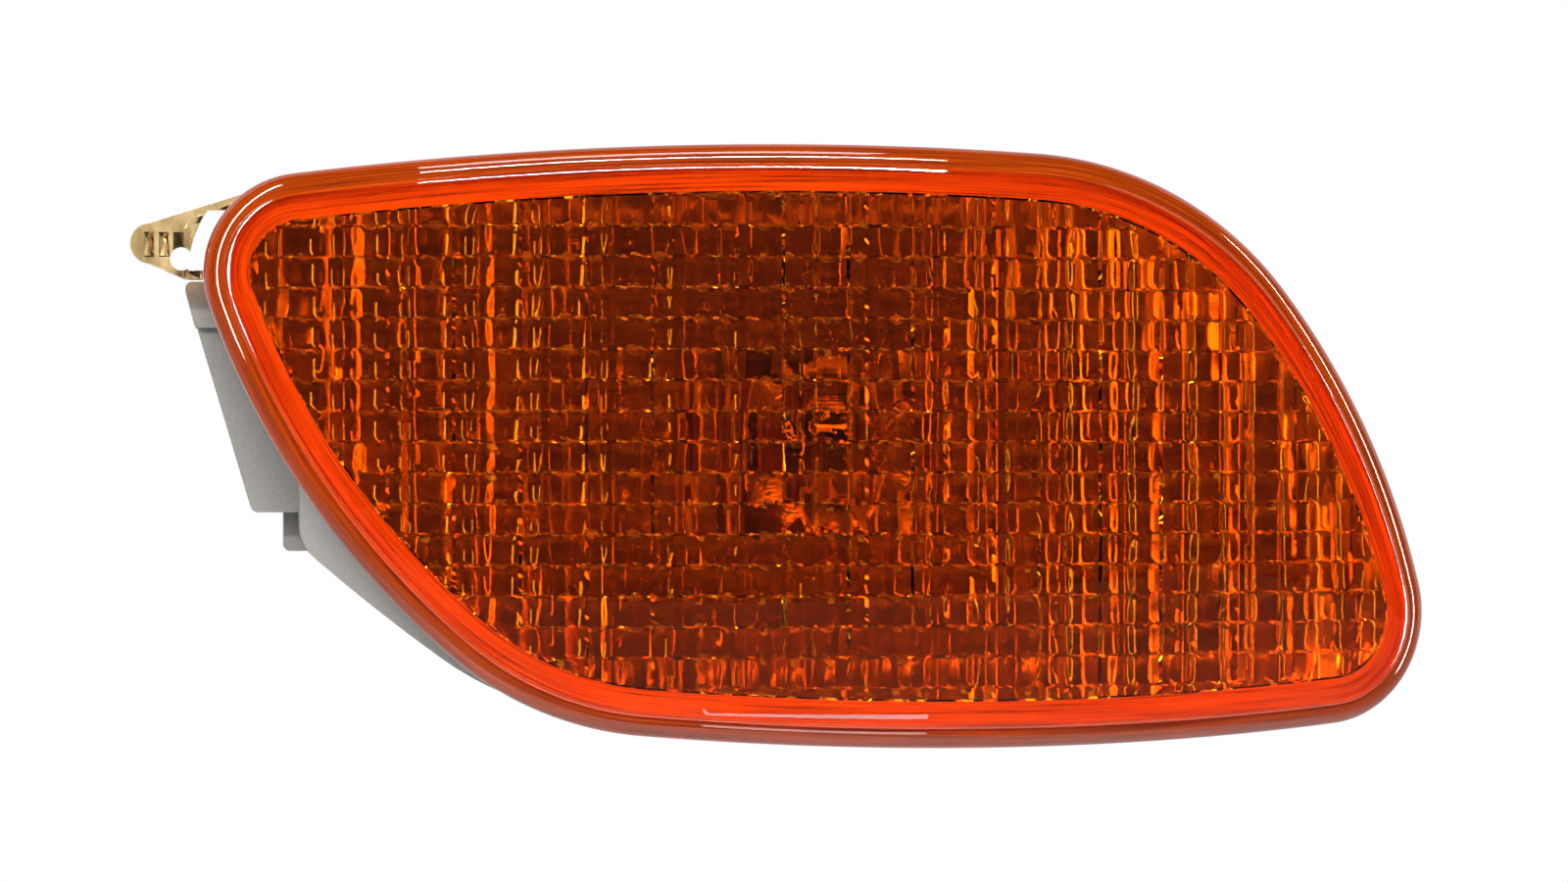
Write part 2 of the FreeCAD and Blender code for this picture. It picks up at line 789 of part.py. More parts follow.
os.makedirs("parts", exist_ok=True)
screw_x, screw_z = screw_place()
to_origin = Vector(-screw_x, -bracket_front - bracket_depth, -screw_z)
for node, shape in make_pieces().items():
    shape.translate(to_origin)
    shape.exportStep("parts/" + node + ".step")
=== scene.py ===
"""Looks of an amber vehicle indicator lamp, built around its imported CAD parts."""

import logging
import math
import random
from collections.abc import Callable
from dataclasses import dataclass, field
from enum import Enum
from typing import Any

import bmesh
import bpy
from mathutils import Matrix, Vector
from mathutils.geometry import delaunay_2d_cdt

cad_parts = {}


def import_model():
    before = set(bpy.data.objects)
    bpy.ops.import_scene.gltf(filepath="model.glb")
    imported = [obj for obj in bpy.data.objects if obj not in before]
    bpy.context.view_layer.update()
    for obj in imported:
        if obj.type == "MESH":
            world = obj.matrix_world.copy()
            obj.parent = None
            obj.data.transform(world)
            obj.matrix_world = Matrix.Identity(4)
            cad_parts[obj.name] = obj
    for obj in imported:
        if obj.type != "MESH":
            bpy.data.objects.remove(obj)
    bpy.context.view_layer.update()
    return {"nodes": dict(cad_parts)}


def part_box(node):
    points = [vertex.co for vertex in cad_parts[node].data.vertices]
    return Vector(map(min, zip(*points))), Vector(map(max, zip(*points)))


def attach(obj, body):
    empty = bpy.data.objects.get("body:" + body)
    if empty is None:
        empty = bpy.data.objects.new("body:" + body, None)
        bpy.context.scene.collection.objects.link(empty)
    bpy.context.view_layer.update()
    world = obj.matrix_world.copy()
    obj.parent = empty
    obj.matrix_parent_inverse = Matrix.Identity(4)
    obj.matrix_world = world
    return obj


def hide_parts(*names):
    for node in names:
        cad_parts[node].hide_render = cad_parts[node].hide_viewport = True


LOG = logging.getLogger("lamp")
MM = 0.001
# Bulb axis at the depth of the lens crest, in mm in the lamp's frame
SHIFT = Vector((81.866, -48.0, 5.2))
# Part of the noise over which a finish goes from its shade to its colour
BLEND = (0.3, 0.7)
Point = tuple[float, float]
Triple = tuple[float, float, float]
Arc = tuple[float, float, float, float, float]
Depth = Callable[[float, float], float]
# Delaunay fill that keeps only the faces inside the rim, and the distance in mm that counts as none
FILL_INSIDE = 1
FILL_NEAR = 1e-5


def srgb(code: str) -> tuple[float, float, float, float]:
    """Turns an sRGB hex colour into the linear values that shaders take.

    Args:
        code: Six hex digits, with or without a leading hash.

    Returns:
        Linear red, green and blue, and an alpha of one.
    """
    digits = code.lstrip("#")
    channels = [int(digits[at:at + 2], 16) / 255 for at in (0, 2, 4)]
    linear = [c / 12.92 if c <= 0.04045 else ((c + 0.055) / 1.055) ** 2.4 for c in channels]
    return (linear[0], linear[1], linear[2], 1.0)


def add(tree: bpy.types.NodeTree, kind: str, links: dict[str | int, Any] | None = None,
        **settings: Any) -> bpy.types.Node:
    """Adds one node to a tree.

    Args:
        tree: Node tree that gets the node.
        kind: Blender's name of the node type.
        links: Input name or number to a constant, or to an output socket to join.
        **settings: Attributes of the node to set.

    Returns:
        The new node.
    """
    node = tree.nodes.new(kind)
    for name, value in settings.items():
        setattr(node, name, value)
    for name, value in (links or {}).items():
        if isinstance(value, bpy.types.NodeSocket):
            tree.links.new(value, node.inputs[name])
        else:
            node.inputs[name].default_value = value
    return node


class Pattern(Enum):
    """Ways a finish varies over its surface, each with the detail of its noise."""

    CLOUDS = 3.0
    STREAKS = 6.0
    GRAIN = 2.0


class Zone(Enum):
    """Parts of the lens, each with the number of its material."""

    WINDOW = 0
    RIM = 1
    BACK = 2


@dataclass(frozen=True)
class Finish:
    """A real material and how it was made.

    Attributes:
        name: Material and process.
        colour: Main colour as sRGB hex.
        shade: Colour of the slight variation.
        roughness: Typical roughness.
        spread: How far the roughness varies.
        pattern: How colour and roughness vary.
        grain_mm: Size of the variation.
        stretch: Scale of the pattern along each axis.
        bump_mm: Height of the surface grain.
        metallic: One for a metal surface.
        ior: Refractive index of a dielectric.
        transmission: One for a clear material.
        attribute: Mesh attribute that the pattern follows, or none for the object's own axes.
        glow: Light that a studio surface adds towards the camera.
    """

    name: str
    colour: str
    shade: str
    roughness: float
    spread: float = 0.03
    pattern: Pattern = Pattern.CLOUDS
    grain_mm: float = 2.0
    stretch: Triple = (1.0, 1.0, 1.0)
    bump_mm: float = 0.0
    metallic: float = 0.0
    ior: float = 1.5
    transmission: float = 0.0
    attribute: str = ""
    glow: float = 0.0

    def variation(self, tree: bpy.types.NodeTree) -> bpy.types.NodeSocket:
        """Makes the varying value that drives colour, roughness and grain.

        Args:
            tree: Node tree of the material.

        Returns:
            Output that runs from zero to one over the surface.
        """
        if self.attribute:
            place = add(tree, "ShaderNodeAttribute", attribute_name=self.attribute).outputs["Vector"]
        else:
            place = add(tree, "ShaderNodeTexCoord").outputs["Object"]
        mapped = add(tree, "ShaderNodeMapping", {"Vector": place, "Scale": self.stretch})
        scale = 1 / (self.grain_mm * MM)
        noise = add(tree, "ShaderNodeTexNoise", {
            "Vector": mapped.outputs["Vector"], "Scale": scale, "Detail": self.pattern.value})
        return noise.outputs["Fac"]

    def build(self) -> bpy.types.Material:
        """Makes the Blender material.

        Returns:
            The procedural material.
        """
        material = bpy.data.materials.new(self.name)
        material.use_nodes = True
        tree = material.node_tree
        tree.nodes.clear()
        value = self.variation(tree)
        ramp = add(tree, "ShaderNodeValToRGB", {"Fac": value})
        ramp.color_ramp.elements[0].position = BLEND[0]
        ramp.color_ramp.elements[0].color = srgb(self.shade)
        ramp.color_ramp.elements[1].position = BLEND[1]
        ramp.color_ramp.elements[1].color = srgb(self.colour)
        rough = add(tree, "ShaderNodeMapRange", {
            "Value": value,
            "To Min": max(self.roughness - self.spread, 0.0),
            "To Max": self.roughness + self.spread})
        shader = add(tree, "ShaderNodeBsdfPrincipled", {
            "Base Color": ramp.outputs["Color"],
            "Roughness": rough.outputs["Result"],
            "Metallic": self.metallic,
            "Transmission Weight": self.transmission})
        if self.metallic < 0.5:
            shader.inputs["IOR"].default_value = self.ior
        if self.bump_mm:
            bump = add(tree, "ShaderNodeBump", {
                "Height": value, "Strength": 1.0, "Distance": self.bump_mm * MM})
            tree.links.new(bump.outputs["Normal"], shader.inputs["Normal"])
        if self.glow:
            seen = add(tree, "ShaderNodeLightPath")
            shader.inputs["Emission Color"].default_value = (self.glow, self.glow, self.glow, 1.0)
            tree.links.new(seen.outputs["Is Camera Ray"], shader.inputs["Emission Strength"])
        surface = shader.outputs["BSDF"]
        if self.transmission:
            path = add(tree, "ShaderNodeLightPath")
            clear = add(tree, "ShaderNodeBsdfTransparent", {"Color": ramp.outputs["Color"]})
            mix = add(tree, "ShaderNodeMixShader", {
                0: path.outputs["Is Shadow Ray"], 1: surface, 2: clear.outputs["BSDF"]})
            surface = mix.outputs["Shader"]
        add(tree, "ShaderNodeOutputMaterial", {"Surface": surface})
        return material


# Moulded PMMA, clear amber: lets orange light through and sparkles where its prisms turn it
AMBER = Finish("moulded PMMA, transparent amber", "FD980E", "FA8E0A", 0.015, 0.01, Pattern.CLOUDS, 6.0,
               ior=1.49, transmission=1.0)
# The same moulding where it turns down at the edge: deeper orange, with flow lines along the edge
AMBER_RIM = Finish("moulded PMMA, amber edge with flow lines", "CC4E06", "661C03", 0.03, 0.02,
                   Pattern.STREAKS, 0.3, (1.0, 0.012, 1.0), ior=1.49, transmission=0.6,
                   attribute="edge_place")
# The frosted back of the edge, seen through the clear front: glows an even bright orange
AMBER_BACK = Finish("moulded PMMA, amber, frosted back of the edge", "D06A14", "682A05", 0.3, 0.1,
                    Pattern.STREAKS, 0.35, (1.0, 0.012, 1.0), ior=1.49, transmission=0.45,
                    attribute="edge_place")
# Vacuum-metallised ABS: a bright mirror, a little dulled by the lacquer over it
METALLISED = Finish("ABS, vacuum-metallised and lacquered", "F0F0F2", "E0E0E4", 0.11, 0.05, Pattern.CLOUDS,
                    8.0, metallic=1.0)
# Grey moulded ABS: an even, matt, slightly warm grey with fine spark-eroded grain
GREY_ABS = Finish("moulded ABS, grey, spark-eroded grain", "73716D", "696763", 0.55, 0.06, Pattern.GRAIN,
                  0.4, bump_mm=0.02)
# Clear PMMA with a trace of amber: mostly picks up what is behind and beside it. The pale amber is its own
# tint; its dark brown clouds are painted shade, standing in for the dark bands that refraction throws across
# the ear
CLEAR_PMMA_PAINTED_SHADE = Finish("moulded PMMA, clear amber trace with painted shade clouds", "FFDE9E", "5E3208", 0.02, 0.015,
                    Pattern.CLOUDS, 3.0, (1.0, 0.3, 0.4), ior=1.49, transmission=1.0)
# Black glass-filled nylon: dark and satin with a faint fibre grain
BLACK_NYLON = Finish("moulded glass-filled nylon, black", "1C1C1E", "262628", 0.45, 0.08, Pattern.GRAIN,
                     0.5, bump_mm=0.015)
# EPDM rubber: dark, dull and a little dusty
RUBBER = Finish("moulded EPDM rubber", "161616", "222120", 0.75, 0.08, Pattern.CLOUDS, 1.5, bump_mm=0.01)
# Stamped brass strip: yellow metal with fine rolling lines along its length
BRASS_STRIP = Finish("stamped brass strip", "C9A24E", "B68D3C", 0.3, 0.08, Pattern.STREAKS, 0.6,
                     (1.0, 0.05, 1.0), metallic=1.0)
# Drawn brass: paler, with faint drawing lines round the cap
CAP_BRASS = Finish("drawn brass, lightly tarnished", "C4AE7C", "A88F58", 0.28, 0.08, Pattern.STREAKS, 0.8,
                   (0.2, 1.0, 0.2), metallic=1.0)
# Soda-lime glass: clear with a faint green-grey
GLASS = Finish("blown soda-lime glass", "F8FBF9", "F1F6F3", 0.01, 0.01, Pattern.CLOUDS, 5.0, ior=1.52,
               transmission=1.0)
# Nickel and tungsten wire: dull grey metal
WIRE = Finish("drawn nickel and tungsten wire", "9A958C", "7F7A72", 0.35, 0.08, Pattern.STREAKS, 0.3,
              metallic=1.0)
# Vitrite: glossy black fused glass
VITRITE = Finish("fused black vitrite", "141416", "1E1E22", 0.15, 0.05, Pattern.CLOUDS, 1.5, ior=1.6)
# Soft solder: rounded, dull silver
SOLDER = Finish("soft solder", "B9BABD", "9C9DA2", 0.35, 0.1, Pattern.CLOUDS, 0.8, metallic=1.0)


@dataclass(frozen=True)
class Outline:
    """Lens outline of four bowed sides and four corner rounds, in mm about the bulb axis.

    Attributes:
        corners: Sharp corners as x and z, clockwise from the upper left.
        bows: How far each side bows outwards.
        rounds: Round at each corner.
    """

    corners: tuple[Point, ...] = ((-95.5, 37.6), (49.6, 41.5), (95.0, -39.7), (-42.6, -40.5))
    bows: tuple[float, ...] = (4.0, 9.4, 3.8, 9.5)
    rounds: tuple[float, ...] = (14.5, 54.0, 16.5, 47.5)

    def side(self, index: int) -> Triple:
        """Finds the circle of one bowed side.

        Args:
            index: Which side, from the upper one clockwise.

        Returns:
            Centre x, centre z and radius.
        """
        start, end = self.corners[index], self.corners[(index + 1) % 4]
        along_x, along_z = end[0] - start[0], end[1] - start[1]
        chord, bow = math.hypot(along_x, along_z), self.bows[index]
        radius = (chord * chord / 4 + bow * bow) / (2 * bow)
        depth = (radius - bow) / chord
        return ((start[0] + end[0]) / 2 + depth * along_z, (start[1] + end[1]) / 2 - depth * along_x, radius)

    def corner(self, index: int) -> Point:
        """Finds the centre of one corner round.

        Args:
            index: Which corner, from the upper left one clockwise.

        Returns:
            Centre x and z.
        """
        ax, az, ar = self.side((index - 1) % 4)
        bx, bz, br = self.side(index)
        first, second = ar - self.rounds[index], br - self.rounds[index]
        span = math.hypot(bx - ax, bz - az)
        along = (first * first - second * second + span * span) / (2 * span)
        across = math.sqrt(first * first - along * along)
        ux, uz = (bx - ax) / span, (bz - az) / span
        options = [(ax + ux * along - uz * s, az + uz * along + ux * s) for s in (across, -across)]
        return min(options, key=lambda p: math.dist(p, self.corners[index]))

    def arcs(self) -> list[Arc]:
        """Lists the eight arcs clockwise.

        Returns:
            Centre x, centre z, radius, start angle and end angle of each arc.
        """
        found = []
        for index in range(4):
            after = (index + 1) % 4
            centre, following = self.corner(index), self.corner(after)
            before, side = self.side((index - 1) % 4), self.side(index)
            start = math.atan2(centre[1] - before[1], centre[0] - before[0])
            middle = math.atan2(centre[1] - side[1], centre[0] - side[0])
            end = math.atan2(following[1] - side[1], following[0] - side[0])
            found.append((centre[0], centre[1], self.rounds[index], start, middle))
            found.append((side[0], side[1], side[2], middle, end))
        return found

    def loop(self, spacing: float) -> list[tuple[float, float, float, float]]:
        """Samples the outline so that parallel loops share their samples.

        Args:
            spacing: Distance between samples in mm.

        Returns:
            Point x and z, and the inward direction x and z, of each sample.
        """
        samples = []
        for cx, cz, radius, start, end in self.arcs():
            turn = (end - start + math.pi) % (2 * math.pi) - math.pi
            steps = max(3, round(abs(turn) * radius / spacing))
            for step in range(steps):
                angle = start + turn * step / steps
                ox, oz = math.cos(angle), math.sin(angle)
                samples.append((cx + ox * radius, cz + oz * radius, -ox, -oz))
        return samples


@dataclass(frozen=True)
class Dome:
    """Curved faces of the lens in mm, y growing towards the back.

    Attributes:
        radius: Radius of the dome seen from above.
        crest_x: Where its crest lies.
        crown: Radius of the crown seen from the side.
    """

    radius: float = 230.0
    crest_x: float = -7.5
    crown: float = 700.0

    def front(self, x: float, z: float, drop: float) -> float:
        """Depth of the crowned face.

        Args:
            x: Place along the lamp.
            z: Height.
            drop: Distance behind the crest.

        Returns:
            Depth y.
        """
        middle = self.radius - drop - self.crown + math.sqrt(self.crown ** 2 - z * z)
        return self.radius - math.sqrt(middle ** 2 - (x - self.crest_x) ** 2)

    def inner(self, x: float, drop: float) -> float:
        """Depth of an inner face.

        Args:
            x: Place along the lamp.
            drop: Distance behind the crest.

        Returns:
            Depth y.
        """
        return self.radius - math.sqrt((self.radius - drop) ** 2 - (x - self.crest_x) ** 2)


@dataclass
class Sheet:
    """Vertices and faces of a piece while it is being made, in mm.

    Attributes:
        points: Vertices.
        faces: Vertex numbers of each face.
        marks: Vertex number to its place across and along the edge of the lens.
        zones: Number of each face's material.
    """

    points: list[Triple] = field(default_factory=list)
    faces: list[tuple[int, ...]] = field(default_factory=list)
    marks: dict[int, Triple] = field(default_factory=dict)
    zones: list[int] = field(default_factory=list)

    def ring(self, points: list[Triple], across: float, spacing: float) -> list[int]:
        """Adds a loop of points.

        Args:
            points: The loop's points.
            across: Where the loop lies across the edge of the lens.
            spacing: Distance between the points along the loop.

        Returns:
            Their numbers.
        """
        start = len(self.points)
        self.points.extend(points)
        for at in range(len(points)):
            self.marks[start + at] = (across, at * spacing, 0.0)
        return list(range(start, start + len(points)))

    def band(self, first: list[int], second: list[int], zone: Zone) -> None:
        """Joins two loops of the same length with quads.

        Args:
            first: Numbers of one loop.
            second: Numbers of the next loop.
            zone: Part of the lens that the band belongs to.
        """
        count = len(first)
        for at in range(count):
            after = (at + 1) % count
            self.faces.append((first[at], first[after], second[after], second[at]))
            self.zones.append(zone.value)

    def fill(self, loop: list[int], flat: list[Point], inside: list[Point], depth: Depth,
             flip: bool) -> None:
        """Fills a loop with a surface through points inside it.

        Args:
            loop: Numbers of the loop's points.
            flat: The loop's points as x and z.
            inside: Points inside the loop as x and z.
            depth: Function of x and z that gives the depth of an inside point.
            flip: Whether the faces look towards the front.
        """
        verts = [Vector(p) for p in flat + inside]
        count = len(flat)
        rim = [(at, (at + 1) % count) for at in range(count)]
        made, _, faces, origins, _, _ = delaunay_2d_cdt(verts, rim, [], FILL_INSIDE, FILL_NEAR)
        number = {}
        for new, old in enumerate(origins):
            if old and old[0] < count:
                number[new] = loop[old[0]]
            else:
                x, z = made[new]
                number[new] = len(self.points)
                self.points.append((x, depth(x, z), z))
        for face in faces:
            order = [number[n] for n in face]
            self.faces.append(tuple(reversed(order)) if flip else tuple(order))
            self.zones.append(Zone.WINDOW.value)

    def build(self, name: str, sharp_deg: float) -> bpy.types.Object:
        """Makes the Blender object in the lamp's frame.

        Args:
            name: Name of the piece.
            sharp_deg: Edges that turn more than this stay crisp.

        Returns:
            The new object, riding on the lamp.
        """
        mesh = bpy.data.meshes.new(name)
        mesh.from_pydata([(Vector(p) + SHIFT) * MM for p in self.points], [], self.faces)
        work = bmesh.new()
        work.from_mesh(mesh)
        bmesh.ops.recalc_face_normals(work, faces=work.faces)
        work.to_mesh(mesh)
        work.free()
        mesh.shade_smooth()
        mesh.set_sharp_from_angle(angle=math.radians(sharp_deg))
        places = mesh.attributes.new("edge_place", "FLOAT_VECTOR", "POINT")
        for number, mark in self.marks.items():
            places.data[number].vector = Vector(mark) * MM
        for polygon in mesh.polygons:
            polygon.material_index = self.zones[polygon.index]
        piece = bpy.data.objects.new(name, mesh)
        bpy.context.scene.collection.objects.link(piece)
        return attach(piece, "root")


@dataclass
class Lens:
    """Amber lens with its rim, skirt and prism grid, in mm.

    Attributes:
        outline: Shape seen from the front.
        dome: Curved faces.
        row_pitch: Height of a prism row.
        row_datum: Height of one row line.
        column_pitch: Width of a prism column.
        column_datum: Place of one column line.
        spacing: Distance between samples along the edge.
        split: Width of the wider of the two flutes in a column.
        flute_steps: Samples across the wider and the narrower flute.
        row_steps: Samples up a cell.
        seed: Start of the random draws for the tilts.
        tilted: Flutes and rows on each side of the bulb axis that get tilts.
        strip_half: Half width of the plain strip between columns.
        strip_flat: Half width of the strip's floor.
        strip_end: Where the strip's height gives way to the flute's.
        strip_floor: Height of the strip's floor.
        strip_rise: Rise from the floor to the strip's edges.
        strip_bow: Bow of the strip across its width.
        strip_dip: Dip of the strip at the row lines.
        groove_half: Half width of the sampled groove at a row line.
        groove_reach: Distance from a row line that takes the groove's height.
        groove_height: Height of the groove's floor.
        ridge: Height of the flutes.
        bulges: Fall of the two flutes at their sides.
        row_dip: Fall of a cell at the row lines.
        flute_lean: Tilt that all cells of a flute share.
        cell_lean: Tilt of single cells along the lamp.
        row_lean: Tilt of single cells upwards.
        heights: Least and greatest height of the prisms.
        nudge: Shift that keeps samples off the flutes' ends.
        crest_inset: Distance of the crest from the outline.
        crest_round: Round at the crest.
        crest_steps: Faces across that round.
        ledge_drop: How far the rim lies behind the crest.
        edge_round: Round at the outside of the rim.
        edge_steps: Faces across that round.
        rim_back: Depth of the back of the rim.
        skirt_outer: Distance of the skirt's outside from the outline.
        skirt_inner: Distance of the skirt's inside from the outline.
        skirt_end: Depth of the skirt's end.
        wall: Depth of the plain inside.
        frame: Distance of the plain border's inside from the outline.
        border: Distance of the prism grid's edge from the outline.
        coarse: Spacing of the dome's points.
        dome_margin: Least distance of the dome's points from the crest.
        grid_margin: Least distance of the grid's points from its edge.
        reach: Half length and half height that the points cover.
        last_cell: Number after the last column and row.
        sharp_deg: Edges that turn more than this stay crisp.
    """

    outline: Outline = field(default_factory=Outline)
    dome: Dome = field(default_factory=Dome)
    row_pitch: float = 4.45
    row_datum: float = 0.7
    column_pitch: float = 9.4
    column_datum: float = -4.9
    spacing: float = 0.9
    split: float = 4.4
    flute_steps: tuple[int, int] = (6, 5)
    row_steps: int = 6
    seed: int = 11
    tilted: tuple[int, int] = (40, 30)
    strip_half: float = 1.15
    strip_flat: float = 0.65
    strip_end: float = 1.1
    strip_floor: float = 0.4
    strip_rise: float = 0.42
    strip_bow: float = 0.12
    strip_dip: float = 0.08
    groove_half: float = 0.25
    groove_reach: float = 0.1
    groove_height: float = 0.74
    ridge: float = 0.92
    bulges: Point = (0.34, 0.2)
    row_dip: float = 0.13
    flute_lean: float = 0.16
    cell_lean: float = 0.1
    row_lean: float = 0.08
    heights: Point = (0.1, 1.0)
    nudge: float = 1e-4
    crest_inset: float = 3.5
    crest_round: float = 0.6
    crest_steps: int = 3
    ledge_drop: float = 1.0
    edge_round: float = 2.2
    edge_steps: int = 8
    rim_back: float = 5.5
    skirt_outer: float = 1.2
    skirt_inner: float = 3.2
    skirt_end: float = 9.0
    wall: float = 3.0
    frame: float = 6.9
    border: float = 7.2
    coarse: float = 3.0
    dome_margin: float = 1.0
    grid_margin: float = 0.2
    reach: Point = (100.0, 50.0)
    last_cell: int = 12
    sharp_deg: float = 22.0

    def __post_init__(self) -> None:
        """Gives each cell of the grid its own slight tilt, as hand-cut mould inserts have."""
        self.arcs: list[Arc] = self.outline.arcs()
        chance = random.Random(self.seed)
        flutes, rows = (range(-count, count) for count in self.tilted)
        self.tilts: dict[tuple[int, int], Point] = {
            (flute, row): (chance.uniform(-1, 1), chance.uniform(-1, 1)) for flute in flutes for row in rows}

    def offsets(self) -> tuple[list[float], list[float]]:
        """Lists where a column and a row are sampled, from one grid line to the next.

        Returns:
            Offsets along x and along z.
        """
        half, flat, groove = self.strip_half, self.strip_flat, self.groove_half
        strip = [-half, -flat, 0.0, flat]
        wide, narrow = self.flute_steps
        first = [half + self.split * step / wide for step in range(wide)]
        rest = self.column_pitch - 2 * half - self.split
        second = [half + self.split + rest * step / narrow for step in range(narrow)]
        plain = self.row_pitch - 2 * groove
        up = [0.0, groove] + [groove + plain * step / self.row_steps for step in range(1, self.row_steps + 1)]
        return strip + first + second, up

    def prism(self, x: float, z: float) -> float:
        """Height of the prism grid above the plain inside of the lens.

        Args:
            x: Place along the lamp.
            z: Height.

        Returns:
            Height in mm.
        """
        half = self.strip_half
        column, u = divmod(x - self.column_datum + half - self.nudge, self.column_pitch)
        u -= half
        row, v = divmod(z - self.row_datum, self.row_pitch)
        if min(v, self.row_pitch - v) < self.groove_reach:
            return self.groove_height
        across = 2 * v / self.row_pitch - 1
        if u < self.strip_end:
            slope = min(1.0, max(0.0, (abs(u) - self.strip_flat) / (half - self.strip_flat)))
            bow = self.strip_bow * u * u - self.strip_dip * across ** 2
            return self.strip_floor + self.strip_rise * slope + bow
        if u < half + self.split:
            part, t = 0, 2 * (u - half) / self.split - 1
        else:
            rest = self.column_pitch - 2 * half - self.split
            part, t = 1, 2 * (u - half - self.split) / rest - 1
        flute = 2 * int(column) + part
        lean_x, lean_z = self.tilts[flute, int(row)]
        lean = self.flute_lean * self.tilts[flute, 0][0] + self.cell_lean * lean_x
        height = self.ridge - self.bulges[part] * t * t - self.row_dip * across ** 2
        height += lean * t + self.row_lean * lean_z * across
        return min(self.heights[1], max(self.heights[0], height))

    def covered(self, x: float, z: float, gap: float) -> bool:
        """Tells whether a point lies inside a parallel of the outline.

        Args:
            x: Place along the lamp.
            z: Height.
            gap: Distance of the parallel from the outline.

        Returns:
            True for a point inside.
        """
        for number, (cx, cz, radius, start, end) in enumerate(self.arcs):
            outside = math.hypot(x - cx, z - cz) > radius - gap
            if number % 2 == 0:
                turn = (end - start + math.pi) % (2 * math.pi) - math.pi
                within = (math.atan2(z - cz, x - cx) - start + math.pi) % (2 * math.pi) - math.pi
                outside = outside and turn <= within <= 0
            if outside:
                return False
        return True

    def inside(self, inset: float, xs: list[float], zs: list[float], margin: float) -> list[Point]:
        """Keeps the grid points that lie inside a parallel of the outline.

        Args:
            inset: Distance of the parallel from the outline.
            xs: Places along x.
            zs: Heights.
            margin: Least distance from the parallel.

        Returns:
            The kept points.
        """
        return [(x, z) for x in xs for z in zs if self.covered(x, z, inset + margin)]

    def rings(self) -> list[Triple]:
        """Lists the loops from the crest over the rim to its outside.

        Returns:
            Inset, depth behind the crest of the face that the loop follows, and further depth.
        """
        found = [(self.crest_inset, 0.0, 0.0)]
        rounds = ((self.crest_inset, 0.0, self.crest_round, self.crest_steps),
                  (self.edge_round, self.ledge_drop, self.edge_round, self.edge_steps))
        for inset, drop, size, steps in rounds:
            if drop:
                found.append((self.crest_inset - self.crest_round, drop, 0.0))
                found.append((inset, drop, 0.0))
            for step in range(1, steps + 1):
                angle = math.radians(90 * step / steps)
                found.append((inset - size * math.sin(angle), drop, size * (1 - math.cos(angle))))
        return found

    def build(self) -> bpy.types.Object:
        """Makes the lens as one closed piece.

        Returns:
            The lens object.
        """
        sheet = Sheet()
        samples = self.outline.loop(self.spacing)
        dome = self.dome

        def loop(inset: float, level: float, depth: Depth) -> tuple[list[int], list[Point]]:
            """Adds one loop parallel to the outline.

            Args:
                inset: Distance from the outline.
                level: Depth behind the crest.
                depth: Depth of the loop's points.

            Returns:
                Numbers of the points, and the points as x and z.
            """
            flat = [(x + nx * inset, z + nz * inset) for x, z, nx, nz in samples]
            points = [(x, depth(x, z), z) for x, z in flat]
            return sheet.ring(points, inset - level, self.spacing), flat

        def crowned(x: float, z: float) -> float:
            """Gives the depth of the dome's front."""
            return dome.front(x, z, 0.0)

        def ridged(x: float, z: float) -> float:
            """Gives the depth of the prism grid."""
            return dome.inner(x, self.wall + self.prism(x, z))

        rings = self.rings()
        first, flat = loop(rings[0][0], 0.0, crowned)
        last = first
        for inset, drop, extra in rings[1:]:
            following, _ = loop(inset, drop + extra, lambda x, z: dome.front(x, z, drop) + extra)
            sheet.band(last, following, Zone.RIM)
            last = following
        for inset, drop in (
            (0.0, self.rim_back), (self.skirt_outer, self.rim_back), (self.skirt_outer, self.skirt_end),
            (self.skirt_inner, self.skirt_end), (self.skirt_inner, self.wall), (self.frame, self.wall),
        ):
            following, _ = loop(inset, drop, lambda x, z: dome.inner(x, drop))
            sheet.band(last, following, Zone.BACK if inset > self.skirt_inner else Zone.RIM)
            last = following
        border, border_flat = loop(self.border, self.wall, ridged)
        sheet.band(last, border, Zone.WINDOW)
        reach_x, reach_z = self.reach
        coarse_x, coarse_z = ([self.coarse * step - reach for step in range(int(2 * reach / self.coarse) + 1)]
                              for reach in self.reach)
        front = self.inside(self.crest_inset, coarse_x, coarse_z, self.dome_margin)
        sheet.fill(first, flat, front, crowned, True)
        across, up = self.offsets()
        columns = range(math.floor((-reach_x - self.column_datum) / self.column_pitch), self.last_cell)
        rows = range(math.floor((-reach_z - self.row_datum) / self.row_pitch), self.last_cell)
        xs = [self.column_datum + self.column_pitch * c + u for c in columns for u in across]
        zs = [self.row_datum + self.row_pitch * r + v for r in rows for v in up]
        back = self.inside(self.border, xs, zs, self.grid_margin)
        sheet.fill(border, border_flat, back, ridged, False)
        return sheet.build("lens_visual", self.sharp_deg)


